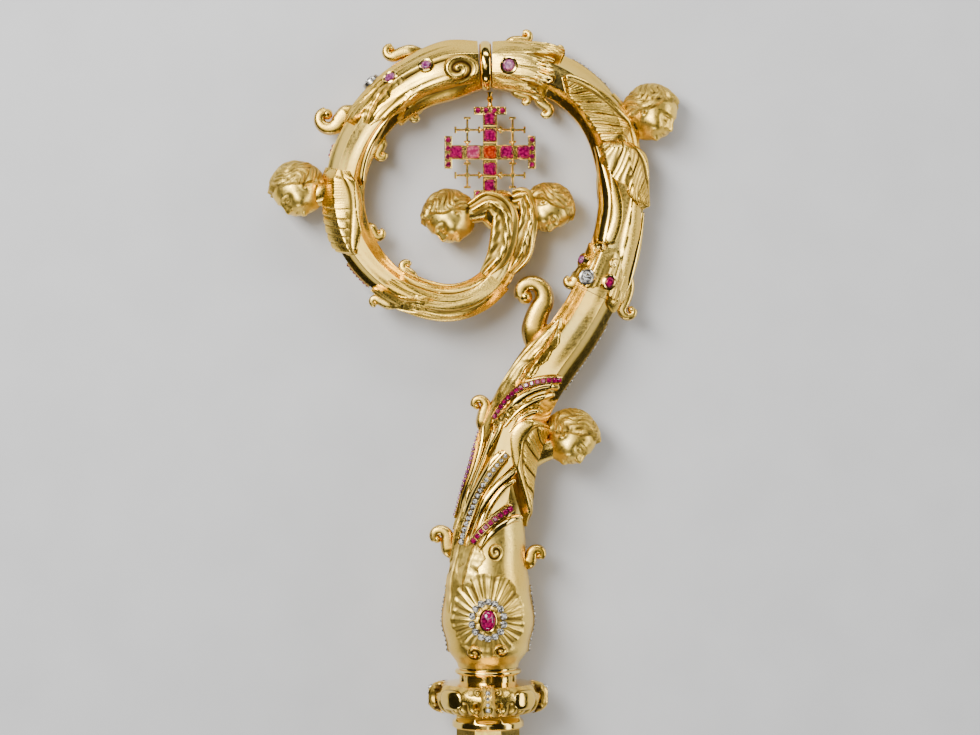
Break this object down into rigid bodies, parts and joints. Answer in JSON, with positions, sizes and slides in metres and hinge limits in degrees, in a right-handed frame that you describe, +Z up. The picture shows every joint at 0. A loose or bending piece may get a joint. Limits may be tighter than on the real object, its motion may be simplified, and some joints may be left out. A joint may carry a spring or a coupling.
{
  "type": "crosier head",
  "caption": "Gold crosier head: ribbed crook coiling round a ruby cross, winged cherub heads, leaf scrolls, jewelled bulb, knop and staff socket.",
  "frame": {"origin": "on the surface the head lies on, below the middle of its outer box", "axes": "+Y along the staff from the socket's mouth to the top of the crook, +Z up through the crook's front, +X to the side that the crook bulges to before it coils"},
  "size_m": [0.1732, 0.329, 0.0513],
  "materials": {
    "gold": "polished and satin gold",
    "ruby": "cut and polished stone",
    "pink_sapphire": "cut and polished stone",
    "garnet": "cut and polished stone",
    "diamond": "cut and polished stone"
  },
  "bodies": {
    "root": {"staff_socket": "gold", "knop": "gold", "stem": "gold", "arch": "gold", "crown_ring": "gold", "volute": "gold", "cherub_stem": "gold", "cherub_upper": "gold", "cherub_left": "gold", "cherub_pair": "gold", "jerusalem_cross": "gold", "bulb_ruby": "ruby", "calyx_ruby": "ruby", "calyx_diamond": "diamond", "calyx_garnet": "ruby", "arch_sapphire": "pink_sapphire", "arch_edge_diamond": "diamond", "volute_sapphire_upper": "pink_sapphire", "volute_sapphire_lower": "pink_sapphire", "volute_edge_diamond": "diamond", "cross_stone_centre": "garnet", "cross_stone_right_1": "ruby", "cross_stone_right_2": "ruby", "cross_stone_left_1": "ruby", "cross_stone_left_2": "ruby", "cross_stone_top_1": "ruby", "cross_stone_top_2": "ruby", "cross_stone_bottom_1": "ruby", "cross_stone_bottom_2": "ruby", "ruby_row_upper": "ruby", "diamond_row_middle": "diamond", "ruby_row_lower": "ruby", "diamond_row_bulb_left": "diamond", "diamond_row_bulb_right": "diamond", "diamond_row_stem_edge": "diamond", "pink_row_arch_edge": "pink_sapphire", "diamond_row_arch_top": "diamond", "ruby_row_volute_edge": "ruby", "ruby_row_volute_foot": "ruby"}
  },
  "joints": []
}
